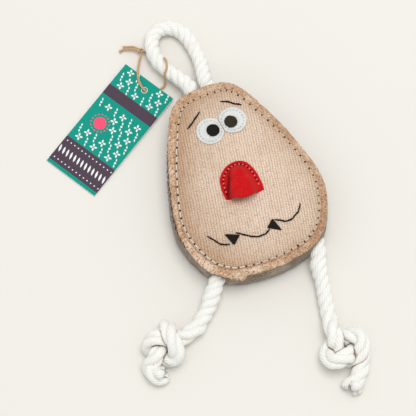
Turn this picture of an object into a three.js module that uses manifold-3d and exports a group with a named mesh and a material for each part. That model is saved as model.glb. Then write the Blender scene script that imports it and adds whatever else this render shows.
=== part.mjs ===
// A stuffed dog toy with a sewn face, a rope loop, two knotted rope legs and a swing tag.
// Millimetres, +Z up. The toy lies on its flat back: X runs across it, and +Y points to its head.
// The origin is on the floor, under the middle of the body.
import * as THREE from "three";
import { mergeVertices } from "three/addons/utils/BufferGeometryUtils.js";
import Module from "manifold-3d";

const wasm = await Module();
wasm.setup();

// Body: its sewn outline, the height of its front seam, and the swell of the stuffing
const bodyLength = 139;
const bodyWidth = 108;
const seamHeight = 22.3;
const crownHeight = 7;
const wallBulge = 2.6;
const backLift = 3.1;
const backFlatInset = 8;
const suedeThickness = 1.4;
const juteThickness = 1;
const juteInset = 3.6;
const stuffingGap = 0.4;
const seamGap = 0.3;

// Ropes, and how they leave the body
const ropeDiameter = 10.4;
const knotRopeDiameter = 7;
const tailDiameter = 9.4;
const exitHeight = 11;
const holeClearance = 0.4;
const stubDepth = 20;
const stopperDiameter = 15;
const ballGap = 0.3;
const faceGap = 0.3;
const loopStrandSpacing = 12;
const loopOffset = 0.6;
const loopPivotReach = 4;
const legPivotReach = 4.4;
const cutOverrun = 2;
const leftExitAngle = THREE.MathUtils.degToRad(-123);
const leftHeading = THREE.MathUtils.degToRad(-131);
const rightExitAngle = THREE.MathUtils.degToRad(-63.3);
const rightHeading = THREE.MathUtils.degToRad(-105);

// Knots: one unit of their route in millimetres, and how far the ropes' lie is turned on the floor
const knotUnit = 0.85;
const knotLift = 0.6;
const lieTurn = THREE.MathUtils.degToRad(-22);

// Face
const eyeDiameter = 17.8;
const eyeThickness = 1.2;
const pupilDiameter = 9.1;
const pupilThickness = 1.3;
const threadDiameter = 1.5;
const toothThickness = 1.1;
const noseWidth = 27.5;
const noseLength = 25;
const noseHeight = 9;
const noseThickness = 1.2;

// Swing tag
const cardWidth = 44;
const cardLength = 91.5;
const cardThickness = 0.6;
const cardCornerRadius = 0.8;
const cardHoleDiameter = 4;
const cardHoleInset = 7.7;
const cardHoleOffset = 1.3;
const cardHoleHeight = 2.1;
const cardEndHeight = 0.15;
const cardTurn = THREE.MathUtils.degToRad(30.5);
const twineDiameter = 1.5;
const twineKnotDiameter = 3.8;

const colours = {
  suede: 0xc49b7d,
  gusset: 0x877666,
  jute: 0xd8bea6,
  stuffing: 0xe8e2d6,
  white: 0xdcded9,
  black: 0x1b1613,
  red: 0xcf201f,
  rope: 0xf1f0ea,
  teal: 0x009b87,
  twine: 0xc8a06e,
};

const toy = new THREE.Group();

function addPiece(name, geometry, colour) {
  const finish = new THREE.MeshStandardMaterial({ color: colours[colour], roughness: 0.9, metalness: 0 });
  const mesh = new THREE.Mesh(geometry, finish);
  mesh.name = name;
  toy.add(mesh);
  return mesh;
}

// Solids and tubes

// A closed surface through rings of as many points each. It closes on itself, or gets end faces:
// a fan round the middle of a full ring, or a strip across a ring that runs out and back.
function loft(rings, ends) {
  const count = rings[0].length;
  const points = rings.flat();
  const faces = [];
  const spans = ends === "joined" ? rings.length : rings.length - 1;
  for (let r = 0; r < spans; r++) {
    const next = (r + 1) % rings.length;
    for (let i = 0; i < count; i++) {
      const j = (i + 1) % count;
      faces.push(r * count + i, r * count + j, next * count + j);
      faces.push(r * count + i, next * count + j, next * count + i);
    }
  }
  const addEnd = (triangle, isFirst) => faces.push(...(isFirst ? triangle.reverse() : triangle));
  for (const r of ends === "joined" ? [] : [0, rings.length - 1]) {
    if (ends === "fan") points.push(middleOf(rings[r]));
    for (let i = 0; ends === "fan" && i < count; i++)
      addEnd([points.length - 1, r * count + i, r * count + ((i + 1) % count)], r === 0);
    for (let i = 0; ends === "strip" && i < count / 2 - 1; i++) {
      const [a, b, c, d] = [i, i + 1, count - 2 - i, count - 1 - i].map((k) => r * count + k);
      addEnd([a, b, c], r === 0);
      addEnd([a, c, d], r === 0);
    }
  }
  const geometry = new THREE.BufferGeometry();
  geometry.setAttribute("position", new THREE.Float32BufferAttribute(points.flat(), 3));
  geometry.setIndex(faces);
  return geometry;
}

function middleOf(ring) {
  return [0, 1, 2].map((axis) => ring.reduce((sum, point) => sum + point[axis], 0) / ring.length);
}

function solid(geometry) {
  const bare = geometry.clone();
  bare.deleteAttribute("normal");
  bare.deleteAttribute("uv");
  const merged = mergeVertices(bare);
  return new wasm.Manifold(
    new wasm.Mesh({
      numProp: 3,
      vertProperties: merged.attributes.position.array,
      triVerts: new Uint32Array(merged.index.array),
    }),
  );
}

function geometryOf(manifold) {
  const mesh = manifold.getMesh();
  const geometry = new THREE.BufferGeometry();
  geometry.setAttribute("position", new THREE.Float32BufferAttribute(mesh.vertProperties, 3));
  geometry.setIndex(Array.from(mesh.triVerts));
  return geometry;
}

function smoothLine(points) {
  const places = points.map((point) => (point.isVector3 ? point : new THREE.Vector3(...point)));
  return new THREE.CatmullRomCurve3(places, false, "centripetal");
}

// One stretch of a line, from one distance along it to another
class Stretch extends THREE.Curve {
  constructor(line, from, to) {
    super();
    Object.assign(this, { line, from, to });
  }

  getPoint(share) {
    return this.line.getPointAt(THREE.MathUtils.lerp(this.from, this.to, share) / this.line.getLength());
  }
}

function tube(line, diameter, sides, steps) {
  const section = new THREE.Shape();
  const corner = (i) => (i / sides) * 2 * Math.PI;
  section.setFromPoints(
    Array.from({ length: sides }, (_, i) =>
      new THREE.Vector2(Math.cos(corner(i)), Math.sin(corner(i))).multiplyScalar(diameter / 2),
    ),
  );
  return new THREE.ExtrudeGeometry(section, { steps, extrudePath: line, bevelEnabled: false });
}

// A tube whose diameter changes with the distance along its line
function shapedTube(line, diameterAt, sides, steps) {
  const frames = line.computeFrenetFrames(steps, false);
  const length = line.getLength();
  const rings = Array.from({ length: steps + 1 }, (_, s) => {
    const middle = line.getPointAt(s / steps);
    const radius = diameterAt((s / steps) * length) / 2;
    return Array.from({ length: sides }, (_, i) => {
      const angle = (i / sides) * 2 * Math.PI;
      const point = middle.clone();
      point.addScaledVector(frames.normals[s], radius * Math.cos(angle));
      point.addScaledVector(frames.binormals[s], radius * Math.sin(angle));
      return point.toArray();
    });
  });
  return loft(rings, "fan");
}

function rod(from, to, diameter, sides) {
  return tube(new THREE.LineCurve3(new THREE.Vector3(...from), new THREE.Vector3(...to)), diameter, sides, 1);
}

const ballSides = 12;
const socketSides = 18;

function ball(place, diameter, sides) {
  return new THREE.SphereGeometry(diameter / 2, sides, (2 * sides) / 3).translate(...place);
}

// Outline and crown of the body

// The right half of the sewn outline, from the bottom to the top, as shares of its half sizes
const outlineShares = [
  [0, -1],
  [0.31, -0.985],
  [0.54, -0.94],
  [0.67, -0.885],
  [0.8, -0.784],
  [0.935, -0.583],
  [1, -0.38],
  [0.98, -0.18],
  [0.92, 0.02],
  [0.8, 0.324],
  [0.64, 0.626],
  [0.51, 0.827],
  [0.4, 0.928],
  [0.25, 0.983],
  [0, 1],
];
const outlineSteps = 720;
const bodyDirections = 60;
const crownPower = 2.4;

function onBody([x, y]) {
  return [(x * bodyWidth) / 2, (y * bodyLength) / 2];
}

const outline = (() => {
  const right = outlineShares.map((share) => new THREE.Vector3(...onBody(share), 0));
  const left = right.slice(1, -1).reverse().map((point) => new THREE.Vector3(-point.x, point.y, 0));
  return new THREE.CatmullRomCurve3([...right, ...left], true, "centripetal").getPoints(outlineSteps);
})();

// How far the sewn outline lies from the middle of the body, in one direction
function outlineReach(angle) {
  const [x, y] = [Math.cos(angle), Math.sin(angle)];
  for (let i = 0; i < outlineSteps; i++) {
    const [a, b] = [outline[i], outline[i + 1]];
    const sideA = x * a.y - y * a.x;
    const sideB = x * b.y - y * b.x;
    if (sideA > 0 || sideB <= 0) continue;
    const crossing = a.clone().lerp(b, sideA / (sideA - sideB));
    const reach = x * crossing.x + y * crossing.y;
    if (reach > 0) return reach;
  }
  throw new Error("the outline doesn't go round the middle of the body");
}

const directions = Array.from({ length: bodyDirections }, (_, i) => {
  const angle = (i / bodyDirections) * 2 * Math.PI;
  return { x: Math.cos(angle), y: Math.sin(angle), reach: outlineReach(angle) };
});

function crown(share) {
  return crownHeight * (1 - Math.min(share, 1) ** crownPower);
}

// A level ring, a distance outside the sewn outline
function levelRing(offset, height) {
  return directions.map(({ x, y, reach }) => [(reach + offset) * x, (reach + offset) * y, height]);
}

// A ring on a crowned panel, at a share of the way from the middle to the panel's inset edge
function crownRing(share, inset, edgeHeight) {
  return directions.map(({ x, y, reach }) => {
    const distance = share * (reach - inset);
    return [distance * x, distance * y, edgeHeight + crown(distance / reach)];
  });
}

// Height of the jute face over a place on the body
function faceHeight(x, y) {
  const share = Math.hypot(x, y) / outlineReach(Math.atan2(y, x));
  return seamHeight + seamGap + juteThickness + crown(share);
}

// Rope exits: the ball that a rope turns on outside the wall, and the stopper that holds it inside

function wallPlace(angle) {
  const reach = outlineReach(angle) + wallBulge;
  return [reach * Math.cos(angle), reach * Math.sin(angle)];
}

function ropeExit([x, y], heading, pivotReach) {
  const along = [Math.cos(heading), Math.sin(heading)];
  return {
    pivot: [x + pivotReach * along[0], y + pivotReach * along[1], exitHeight],
    stopper: [x - stubDepth * along[0], y - stubDepth * along[1], exitHeight],
  };
}

const leftExit = ropeExit(wallPlace(leftExitAngle), leftHeading, legPivotReach);
const rightExit = ropeExit(wallPlace(rightExitAngle), rightHeading, legPivotReach);
const headAngle = Math.PI / 2;
const loopWallPlace = [loopOffset, wallPlace(headAngle)[1]];
const loopExits = [-1, 1].map((side) =>
  ropeExit([loopOffset + (side * loopStrandSpacing) / 2, loopWallPlace[1]], headAngle, loopPivotReach),
);
const loopCentre = [loopOffset, loopWallPlace[1] + loopPivotReach];

const ropeSides = 10;

// The rope ends in the body: one stub and stopper for each exit, joined where they meet
function anchor(exits, clearance) {
  const parts = exits.flatMap(({ pivot, stopper }) => [
    solid(rod(stopper, pivot, ropeDiameter + 2 * clearance, ropeSides)),
    solid(ball(pivot, ropeDiameter, ballSides)),
    solid(ball(stopper, stopperDiameter + 2 * clearance, ballSides)),
  ]);
  return parts.reduce((whole, part) => whole.add(part));
}

function exitHole({ pivot, stopper }) {
  return solid(rod(stopper, pivot, ropeDiameter + 2 * holeClearance, ropeSides));
}

function loopSlot() {
  const slot = new THREE.Shape();
  const radius = ropeDiameter / 2 + holeClearance;
  slot.absarc(loopStrandSpacing / 2, 0, radius, -Math.PI / 2, Math.PI / 2, false);
  slot.absarc(-loopStrandSpacing / 2, 0, radius, Math.PI / 2, (3 * Math.PI) / 2, false);
  const depth = stubDepth + cutOverrun;
  const cutter = new THREE.ExtrudeGeometry(slot, { depth, bevelEnabled: false, curveSegments: ropeSides });
  cutter.rotateX(Math.PI / 2);
  cutter.translate(loopOffset, loopWallPlace[1] + cutOverrun, exitHeight);
  return solid(cutter);
}

// Body: a back, a wall and a front of suede, a jute face, and the stuffing

const wallFoot = backLift + seamGap;
const wallTop = seamHeight - suedeThickness - seamGap;

// The wall's swell from its foot to its top, as shares of its height and of its bulge
const wallShares = [
  [0, 0.05],
  [0.2, 0.72],
  [0.48, 1],
  [0.77, 0.75],
  [1, 0.05],
];

function wallRings(shares, inset) {
  return shares.map(([height, bulge]) =>
    levelRing(bulge * wallBulge - inset, THREE.MathUtils.lerp(wallFoot, wallTop, height)),
  );
}

function backPanel() {
  const turn = backFlatInset / 3;
  const rings = [
    levelRing(-backFlatInset, 0),
    levelRing(-turn, backLift / 4),
    levelRing(0, backLift - suedeThickness / 2),
    levelRing(-suedeThickness / 2, backLift),
    levelRing(-turn - suedeThickness, backLift / 4 + suedeThickness),
    levelRing(-backFlatInset - suedeThickness, suedeThickness),
  ];
  return loft(rings, "fan");
}

function sideGusset() {
  const outer = wallRings(wallShares, 0);
  const inner = wallRings(wallShares, suedeThickness).reverse();
  const band = solid(loft([...outer, ...inner], "joined"));
  return geometryOf(band.subtract(loopSlot()).subtract(exitHole(leftExit)).subtract(exitHole(rightExit)));
}

const panelShares = [0.4, 0.68, 0.88, 1];

function crownedPanel(inset, edgeHeight, thickness) {
  const under = panelShares.map((share) => crownRing(share, inset, edgeHeight));
  const top = panelShares.map((share) => crownRing(share, inset, edgeHeight + thickness)).reverse();
  return loft([...under, ...top], "fan");
}

function stuffingCore() {
  const inset = suedeThickness + stuffingGap;
  const foot = levelRing(-backFlatInset - inset, inset);
  const heel = levelRing(-backFlatInset / 3 - inset, backLift / 4 + inset);
  const wall = wallRings(wallShares.slice(1, -1), inset);
  const top = panelShares.map((share) => crownRing(share, 2 * inset, wallTop - stuffingGap)).reverse();
  const filling = solid(loft([foot, heel, ...wall, ...top], "fan"));
  return geometryOf(
    filling
      .subtract(anchor(loopExits, stuffingGap))
      .subtract(anchor([leftExit], stuffingGap))
      .subtract(anchor([rightExit], stuffingGap)),
  );
}

addPiece("back_panel", backPanel(), "suede");
addPiece("side_gusset", sideGusset(), "gusset");
addPiece("front_panel", crownedPanel(0, seamHeight - suedeThickness, suedeThickness), "suede");
addPiece("jute_face", crownedPanel(juteInset, seamHeight + seamGap, juteThickness), "jute");
addPiece("stuffing_core", stuffingCore(), "stuffing");
addPiece("loop_anchor", geometryOf(anchor(loopExits, 0)), "rope");
addPiece("left_leg_anchor", geometryOf(anchor([leftExit], 0)), "rope");
addPiece("right_leg_anchor", geometryOf(anchor([rightExit], 0)), "rope");

// Face: discs, teeth and threads that follow the crown of the jute, and a nose that stands proud

const leftEyeShare = [-0.115, 0.514];
const rightEyeShare = [0.22, 0.544];
const leftPupilShare = [-0.08, 0.511];
const rightPupilShare = [0.187, 0.532];
const leftBrowShares = [[-0.139, 0.745], [-0.24, 0.685], [-0.312, 0.648], [-0.376, 0.616]];
const rightBrowShares = [[0.165, 0.781], [0.248, 0.75], [0.315, 0.709], [0.406, 0.666]];
const leftMouthShares = [
  [-0.676, -0.486],
  [-0.617, -0.547],
  [-0.559, -0.61],
  [-0.496, -0.637],
  [-0.445, -0.647],
];
const middleMouthShares = [
  [-0.265, -0.597],
  [-0.2, -0.633],
  [-0.115, -0.672],
  [-0.031, -0.685],
  [0.03, -0.68],
  [0.07, -0.67],
];
const rightMouthShares = [
  [0.24, -0.598],
  [0.319, -0.637],
  [0.402, -0.642],
  [0.47, -0.617],
  [0.531, -0.586],
  [0.594, -0.521],
];
const leftToothShares = [[-0.459, -0.54], [-0.398, -0.666], [-0.293, -0.599]];
const rightToothShares = [[0.078, -0.636], [0.231, -0.706], [0.176, -0.576]];

const coreShare = 0.5;
const shoulderShare = 0.9;

// A flat piece sewn on the face: its edge is a ring of places, and it follows the crown
function facePatch(edge, base, thickness) {
  const middle = [0, 1].map((axis) => edge.reduce((sum, place) => sum + place[axis], 0) / edge.length);
  const ring = (share, lift) =>
    edge.map((place) => {
      const [x, y] = place.map((value, axis) => THREE.MathUtils.lerp(middle[axis], value, share));
      return [x, y, faceHeight(x, y) + base + lift];
    });
  const rings = [ring(coreShare, 0), ring(1, 0), ring(1, thickness / 2), ring(shoulderShare, thickness)];
  return loft([...rings, ring(coreShare, thickness)], "fan");
}

const discSides = 24;

function disc(share, diameter) {
  const [x, y] = onBody(share);
  return Array.from({ length: discSides }, (_, i) => {
    const angle = (i / discSides) * 2 * Math.PI;
    return [x + (diameter / 2) * Math.cos(angle), y + (diameter / 2) * Math.sin(angle)];
  });
}

const threadSides = 8;

function faceThread(shares) {
  const points = shares.map((share) => {
    const [x, y] = onBody(share);
    return [x, y, faceHeight(x, y) + seamGap + threadDiameter / 2];
  });
  return tube(smoothLine(points), threadDiameter, threadSides, 3 * points.length);
}

// The nose is a shell, sewn down round its top, that opens towards the mouth.
// Each row of it is an arch: a share of its length, of its half width and of its height.
const noseTopShare = [-0.019, 0.1];
const noseTurn = THREE.MathUtils.degToRad(-4);
const noseRowShares = [
  [0.03, 0.32, 0.3],
  [0.12, 0.6, 0.42],
  [0.28, 0.85, 0.58],
  [0.48, 0.98, 0.78],
  [0.7, 1, 0.93],
  [0.88, 0.97, 1],
  [1, 0.9, 0.98],
];
const archSteps = 12;

function noseRow([lengthShare, widthShare, heightShare], thickness) {
  const [topX, topY] = onBody(noseTopShare);
  return Array.from({ length: archSteps + 1 }, (_, i) => {
    const angle = (i / archSteps) * Math.PI;
    const across = ((widthShare * noseWidth) / 2 - thickness) * Math.cos(angle);
    const [x, y] = turned([across, -lengthShare * noseLength], noseTurn);
    const rise = (heightShare * noseHeight - thickness) * Math.sin(angle);
    return [topX + x, topY + y, faceHeight(topX + x, topY + y) + seamGap + rise];
  });
}

function turned([x, y, ...rest], angle) {
  return [x * Math.cos(angle) - y * Math.sin(angle), x * Math.sin(angle) + y * Math.cos(angle), ...rest];
}

function noseShell() {
  return loft(noseRowShares.map((row) => [...noseRow(row, 0), ...noseRow(row, noseThickness).reverse()]), "strip");
}

addPiece("left_eye", facePatch(disc(leftEyeShare, eyeDiameter), seamGap, eyeThickness), "white");
addPiece("right_eye", facePatch(disc(rightEyeShare, eyeDiameter), seamGap, eyeThickness), "white");
const pupilBase = seamGap + eyeThickness + seamGap;
addPiece("left_pupil", facePatch(disc(leftPupilShare, pupilDiameter), pupilBase, pupilThickness), "black");
addPiece("right_pupil", facePatch(disc(rightPupilShare, pupilDiameter), pupilBase, pupilThickness), "black");
addPiece("nose", noseShell(), "red");
addPiece("left_brow", faceThread(leftBrowShares), "black");
addPiece("right_brow", faceThread(rightBrowShares), "black");
addPiece("left_mouth_line", faceThread(leftMouthShares), "black");
addPiece("middle_mouth_line", faceThread(middleMouthShares), "black");
addPiece("right_mouth_line", faceThread(rightMouthShares), "black");
addPiece("left_tooth", facePatch(leftToothShares.map(onBody), seamGap, toothThickness), "black");
addPiece("right_tooth", facePatch(rightToothShares.map(onBody), seamGap, toothThickness), "black");

// Rope legs: each is one line from its exit, through an overhand knot, to the cut end

// Both routes start at the rope's exit, and are told from there across the floor, and up from the floor
const leftLegRoute = [[-4.6, -5.3, 9.3], [-9.1, -10.3, 6.9]];
const rightLegRoute = [
  [-1.5, -5.8, 9.6],
  [-3.3, -13.8, 6.9],
  [-5.4, -21.8, 5.7],
  [-7.3, -30, 5.5],
];
const leftKnotPlace = [-42.4, -25.5];
const rightKnotPlace = [-10, -68.6];

// The overhand knot, from where the rope climbs over itself to where it comes out, in knot units
const overhandRoute = [
  [-7.5, 10, 13.8],
  [-6, 3.5, 10.5],
  [-5, -3.2, 5.4],
  [-1.2, -9, 4.2],
  [5.5, -11.3, 7],
  [11, -7.8, 12.4],
  [14.2, 0.5, 14.8],
  [14.2, 9.5, 11.6],
  [8, 15.5, 6],
  [-3, 12.8, 4.2],
  [-11.5, 8.4, 4.6],
  [-15.9, 1.2, 8.6],
  [-11.5, -5.2, 13.8],
  [-4.5, -5.6, 15],
  [0.8, -3.2, 12.8],
  [6.2, 0.6, 8],
  [11.4, 3.2, 5],
  [16, 1.2, 4.2],
];
const rightLeadIn = [[-12, 31, 5.7], [-10.5, 23, 7.5], [-9, 16, 12]];
const rightTail = [[17.5, -5, 4.2], [15.5, -13, 4.8], [12, -20, 5], [7.5, -27, 5]];
const leftLeadIn = [[26.6, 24.6, 5.9], [22.4, 15.5, 7.4], [17.6, 5.5, 11.5]];
const leftTail = [[-14, 12, 4.4], [-20.5, 8, 5], [-24, 0, 5], [-23, -9.5, 5], [-17, -17.5, 5], [-9, -22, 5]];
const leftKnotTurn = -Math.PI / 3;
const leftOverhandRoute = overhandRoute.map(([x, y, z]) => turned([-x, y, z], leftKnotTurn));

function legLines(exit, legRoute, knotRoute, knotPlace) {
  const [x0, y0] = exit.pivot;
  const leg = [exit.pivot, ...legRoute.map(([x, y, z]) => [x0 + x, y0 + y, z])];
  const knot = knotRoute.map((point) => {
    const [x, y, z] = turned(point, lieTurn);
    return [x0 + knotPlace[0] + x * knotUnit, y0 + knotPlace[1] + y * knotUnit, z * knotUnit + knotLift];
  });
  return { whole: smoothLine([...leg, ...knot]), knotStart: smoothLine(leg).getLength() + ropeDiameter / 2 };
}

// The least gap that a knot's rope leaves to itself, and where the knot begins on its line
function leastGap(line, from, diameter) {
  const spacing = diameter / 8;
  const knotLine = new Stretch(line, from, line.getLength());
  const points = knotLine.getSpacedPoints(Math.ceil(knotLine.getLength() / spacing));
  const apart = Math.ceil((1.6 * diameter) / spacing);
  let least = Infinity;
  points.forEach((a, i) => points.slice(i + apart).forEach((b) => (least = Math.min(least, a.distanceTo(b)))));
  return least - diameter;
}

const knotSides = 8;
const knotStep = 3;

function addLeg(side, exit, { whole: line, knotStart }) {
  const socket = solid(ball(exit.pivot, ropeDiameter + 2 * ballGap, socketSides));
  const legSteps = Math.ceil(knotStart / ropeDiameter) + 2;
  const leg = tube(new Stretch(line, 0, knotStart), ropeDiameter, ropeSides, legSteps);
  addPiece(side + "_leg_rope", geometryOf(solid(leg).subtract(socket)), "rope");

  const length = line.getLength();
  const knotLength = length - knotStart - faceGap;
  const squeeze = 1.6 * ropeDiameter;
  const tailLength = 2 * tailDiameter;
  const diameterAt = (distance) => {
    const drawnIn = THREE.MathUtils.smoothstep(distance, 0, squeeze);
    const loosened = THREE.MathUtils.smoothstep(distance, knotLength - tailLength, knotLength - tailLength / 2);
    const body = THREE.MathUtils.lerp(ropeDiameter, knotRopeDiameter, drawnIn);
    return THREE.MathUtils.lerp(body, tailDiameter, loosened);
  };
  const knotLine = new Stretch(line, knotStart + faceGap, length);
  const knot = shapedTube(knotLine, diameterAt, knotSides, Math.ceil(knotLength / knotStep));
  addPiece(side + "_leg_knot", knot, "rope");
  const gap = leastGap(line, knotStart + squeeze, knotRopeDiameter);
  console.log(`${side} leg: ${length.toFixed(0)} mm of rope, least gap in its knot ${gap.toFixed(2)} mm`);
}

const leftKnotRoute = [...leftLeadIn, ...leftOverhandRoute, ...leftTail];
const rightKnotRoute = [...rightLeadIn, ...overhandRoute, ...rightTail];
addLeg("left", leftExit, legLines(leftExit, leftLegRoute, leftKnotRoute, leftKnotPlace));
addLeg("right", rightExit, legLines(rightExit, rightLegRoute, rightKnotRoute, rightKnotPlace));

// Rope loop at the head, from its left exit round to its right one. Its left side lies on the twine.

const loopRoute = [
  [-7.8, 6, 9.9],
  [-11.3, 12.6, 8.6],
  [-15, 19.2, 7.8],
  [-18.4, 26.4, 7.6],
  [-20, 33.6, 7.5],
  [-19.1, 41.2, 7.2],
  [-15.6, 48.2, 5.9],
  [-10, 51.7, 5.4],
  [-4, 51.2, 5.3],
  [1.4, 48.4, 5.3],
  [6, 42.5, 5.3],
  [8.3, 33.9, 5.3],
  [9.2, 24.6, 5.5],
  [8.8, 14.9, 7],
  [7.2, 6.9, 9.4],
];
const loopSteps = 24;

function onLoop([x, y, z]) {
  return [loopCentre[0] + x, loopCentre[1] + y, z];
}

const loopLine = smoothLine([loopExits[0].pivot, ...loopRoute.map(onLoop), loopExits[1].pivot]);
const loopSockets = loopExits
  .map(({ pivot }) => solid(ball(pivot, ropeDiameter + 2 * ballGap, socketSides)))
  .reduce((both, socket) => both.add(socket));
const loopTube = solid(tube(loopLine, ropeDiameter, ropeSides, loopSteps));
addPiece("loop_rope", geometryOf(loopTube.subtract(loopSockets)), "rope");

// Swing tag: a card that hangs on a loop of twine round the left side of the rope loop

const cardHolePlace = [-35.9, 13.7];
const twineRoute = [
  [-27.9, 40.2, 3.6],
  [-30.8, 35.7, 4.2],
  [-33.8, 30.9, 4.3],
  [-36.5, 24.9, 4.3],
  [-37.2, 19.4, 4.3],
  [-36.8, 16, 4.2],
  [-36.3, 14.6, 3.4],
  [-35.7, 13.4, 2],
  [-34.8, 12.6, 1],
  [-30, 11.4, 0.9],
  [-25, 10.8, 0.9],
  [-21.2, 11.6, 1.4],
  [-20.2, 13.4, 5.2],
  [-20, 15.1, 9.6],
  [-19.2, 16.1, 11.7],
  [-17.4, 17.8, 13.7],
  [-15.3, 22.8, 14.3],
  [-13.2, 27.6, 13],
  [-12, 31, 9],
  [-12.2, 33.8, 4.5],
  [-14.4, 36.2, 1.2],
  [-19, 38.9, 0.9],
  [-23.4, 41.2, 1.1],
  [-26.1, 42, 2.4],
];
const twineSides = 8;
const twineSteps = 56;
const knotTailRoutes = [
  [[-28.5, 43.4, 3.4], [-33, 46.6, 3], [-39.3, 48.9, 1.6], [-41.6, 48.4, 1.2]],
  [[-27.4, 43.6, 3.2], [-31, 48.4, 2.4], [-37, 51, 1.2]],
  [[-26.2, 42.4, 3.6], [-24.6, 40.8, 4.6]],
];
const twineKnotPlace = [-27.6, 42.6, 3.4];

const twine = solid(tube(smoothLine(twineRoute.map(onLoop)), twineDiameter, twineSides, twineSteps));
const twineKnotBall = solid(ball(onLoop(twineKnotPlace), twineKnotDiameter, ballSides));
const twineKnotSeat = solid(ball(onLoop(twineKnotPlace), twineKnotDiameter + 2 * faceGap, socketSides));
const twineKnot = knotTailRoutes
  .map((points) => solid(tube(smoothLine(points.map(onLoop)), twineDiameter, twineSides, 2 * points.length)))
  .reduce((whole, tail) => whole.add(tail), twineKnotBall);
addPiece("tag_twine", geometryOf(twine.subtract(twineKnotSeat)), "twine");
addPiece("twine_knot", geometryOf(twineKnot), "twine");

function tagCard() {
  const [left, right] = [cardHoleOffset - cardWidth / 2, cardHoleOffset + cardWidth / 2];
  const [far, near] = [cardHoleInset - cardLength, cardHoleInset];
  const r = cardCornerRadius;
  const card = new THREE.Shape();
  card.absarc(near - r, right - r, r, 0, Math.PI / 2, false);
  card.absarc(far + r, right - r, r, Math.PI / 2, Math.PI, false);
  card.absarc(far + r, left + r, r, Math.PI, (3 * Math.PI) / 2, false);
  card.absarc(near - r, left + r, r, (3 * Math.PI) / 2, 2 * Math.PI, false);
  const hole = new THREE.Path();
  hole.absarc(0, 0, cardHoleDiameter / 2, 0, 2 * Math.PI, false);
  card.holes.push(hole);
  return new THREE.ExtrudeGeometry(card, { depth: cardThickness, bevelEnabled: false, curveSegments: 6 });
}

const card = addPiece("tag_card", tagCard(), "teal");
card.rotation.order = "ZYX";
card.rotation.z = cardTurn;
card.rotation.y = -Math.asin((cardHoleHeight - cardEndHeight) / (cardLength - cardHoleInset));
card.position.set(...onLoop([...cardHolePlace, cardHoleHeight]));

export default toy;
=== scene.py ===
import math

import bpy
import numpy as np
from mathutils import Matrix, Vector, noise
from numpy.linalg import norm


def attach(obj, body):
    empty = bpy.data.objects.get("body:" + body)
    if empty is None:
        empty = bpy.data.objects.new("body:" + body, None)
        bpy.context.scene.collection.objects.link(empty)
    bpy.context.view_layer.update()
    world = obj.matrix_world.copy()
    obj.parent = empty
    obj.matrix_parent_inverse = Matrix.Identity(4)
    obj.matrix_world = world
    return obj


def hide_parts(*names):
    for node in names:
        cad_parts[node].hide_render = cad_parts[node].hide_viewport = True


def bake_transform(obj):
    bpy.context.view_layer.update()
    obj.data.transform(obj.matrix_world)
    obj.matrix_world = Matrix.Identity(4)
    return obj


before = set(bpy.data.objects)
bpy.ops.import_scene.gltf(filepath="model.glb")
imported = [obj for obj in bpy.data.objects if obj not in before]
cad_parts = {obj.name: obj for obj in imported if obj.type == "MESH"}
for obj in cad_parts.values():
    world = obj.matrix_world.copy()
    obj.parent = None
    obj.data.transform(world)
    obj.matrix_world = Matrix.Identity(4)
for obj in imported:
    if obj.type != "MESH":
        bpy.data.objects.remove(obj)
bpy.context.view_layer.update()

# Lengths are in millimetres, and become metres when a mesh is made.
MM = 0.001
TURN = 2 * math.pi


def srgb(red, green, blue):
    """A colour written as a screen shows it, from 0 to 255"""
    def linear(value):
        value /= 255
        return value / 12.92 if value <= 0.04045 else ((value + 0.055) / 1.055) ** 2.4
    return (linear(red), linear(green), linear(blue), 1)


# Camera and light

def add_aimed(data, place, way):
    """Adds a camera or a lamp that looks along a direction"""
    item = bpy.data.objects.new(data.name, data)
    item.location = place
    item.rotation_euler = way.to_track_quat("-Z", "Y").to_euler()
    bpy.context.collection.objects.link(item)
    return item


def add_camera():
    azimuth, elevation, distance = math.radians(-22), math.radians(74.5), 1100
    target = Vector((-26.77, -11.5, 12))
    level = math.cos(elevation)
    back = Vector((math.sin(azimuth) * level, -math.cos(azimuth) * level, math.sin(elevation)))
    data = bpy.data.cameras.new("camera")
    data.sensor_fit = "HORIZONTAL"
    data.sensor_width = 36
    data.lens = 136
    data.clip_start, data.clip_end = 0.05, 20
    bpy.context.scene.camera = add_aimed(data, (target + back * distance) * MM, -back)


def add_light():
    """A wide lamp high over the toy, and an even white room"""
    data = bpy.data.lights.new("key_light", "AREA")
    data.shape = "DISK"
    data.size = 1.6
    data.energy = 31.4
    place = Vector((0.35, 0.2, 2.5))
    add_aimed(data, place, Vector((-0.02, 0, 0.02)) - place)
    world = bpy.data.worlds.new("studio")
    world.use_nodes = True
    background = world.node_tree.nodes["Background"]
    background.inputs["Color"].default_value = (1, 1, 1, 1)
    background.inputs["Strength"].default_value = 0.7
    bpy.context.scene.world = world
    bpy.context.scene.view_settings.view_transform = "Standard"


# Lines

def smooth(value):
    """A soft step from 0 to 1"""
    value = np.clip(value, 0, 1)
    return value * value * (3 - 2 * value)


def bell(away, width):
    """1 in the middle, and soon nearly 0 on both sides"""
    return np.exp(-((away / width) ** 2))


def unit(vectors):
    return vectors / np.maximum(norm(vectors, axis=-1, keepdims=True), 1e-9)


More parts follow.
